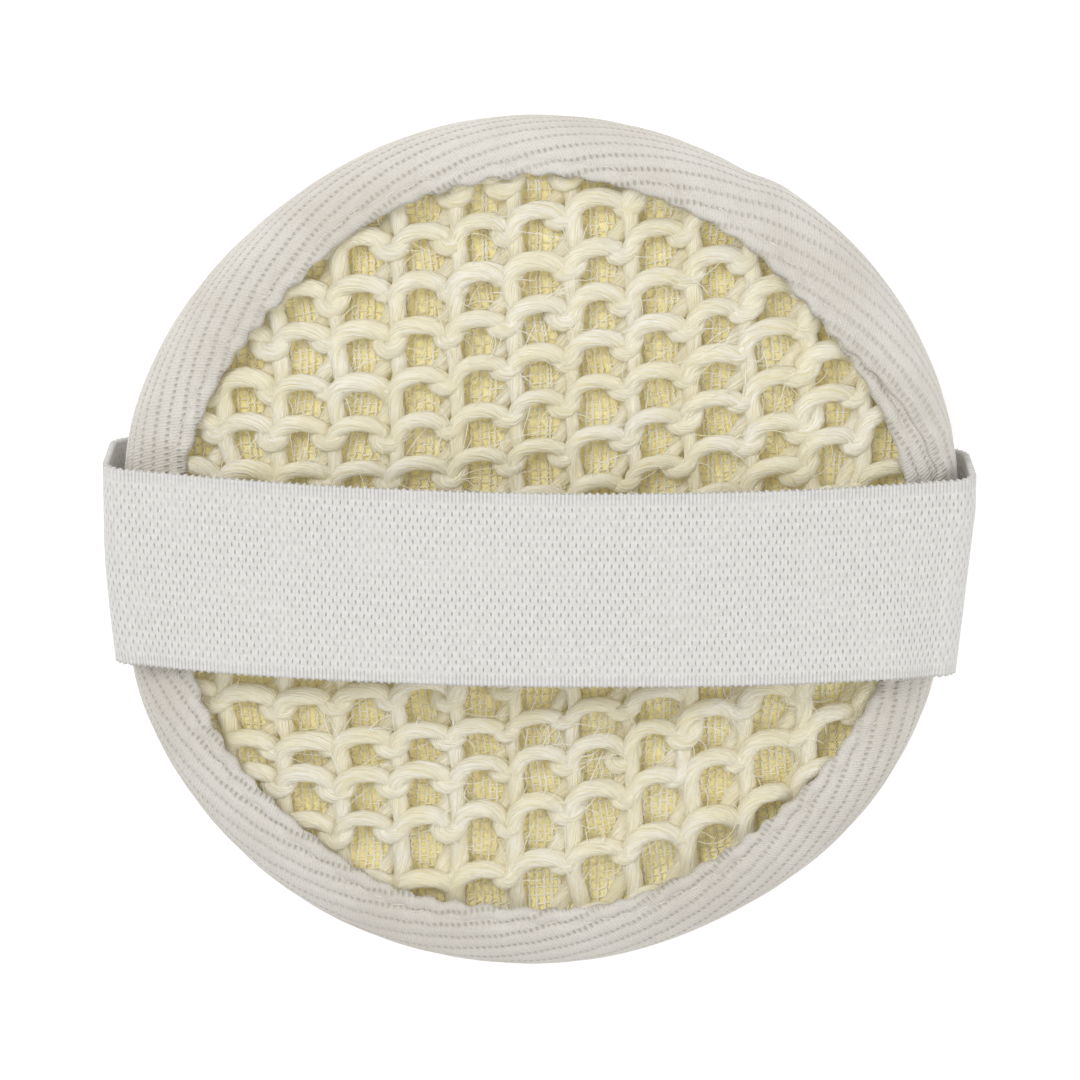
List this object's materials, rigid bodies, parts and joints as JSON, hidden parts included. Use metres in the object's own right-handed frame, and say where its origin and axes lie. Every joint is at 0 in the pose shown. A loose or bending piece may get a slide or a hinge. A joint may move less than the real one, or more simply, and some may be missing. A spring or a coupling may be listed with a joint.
{
  "type": "sisal body scrub pad",
  "caption": "Round dry-scrubbing pad for the body: a thick sisal knit over a foam core, bound with twill at the rim, with an elastic hand strap across its front.",
  "frame": {"origin": "on the pad's flat back, under the middle of the object's outer box", "axes": "+X along the hand strap, +Y across the strap, +Z out of the pad's front, up when it rests on its back"},
  "size_m": [0.1472, 0.1468, 0.04],
  "materials": {
    "terry_cotton": "looped cotton terry, ecru",
    "foam": "open-cell foam, pale yellow",
    "gauze": "fine open gauze, cream",
    "sisal": "twisted sisal yarn, satin cream",
    "cotton_twill": "unbleached cotton twill tape",
    "sewing_thread": "matt cotton sewing thread",
    "knitted_elastic": "white knitted elastic webbing"
  },
  "bodies": {
    "pad": {"back_cloth": "terry_cotton", "foam_core": "foam", "gauze_scrim": "gauze", "sisal_knit": "sisal", "edge_binding": "cotton_twill", "front_seam_thread": "sewing_thread", "back_seam_thread": "sewing_thread", "strap_end_left": "knitted_elastic", "strap_end_right": "knitted_elastic", "strap_tack_left": "sewing_thread", "strap_tack_right": "sewing_thread"},
    "strap": {"hand_strap": "knitted_elastic"}
  },
  "joints": [
    {"name": "strap_lift", "type": "slide", "parent": "pad", "child": "strap", "axis": [0, 0, 1], "range_m": [0, 0.022], "stiffness_N_per_m": 200, "deforming": ["strap_end_left", "strap_end_right"]}
  ]
}
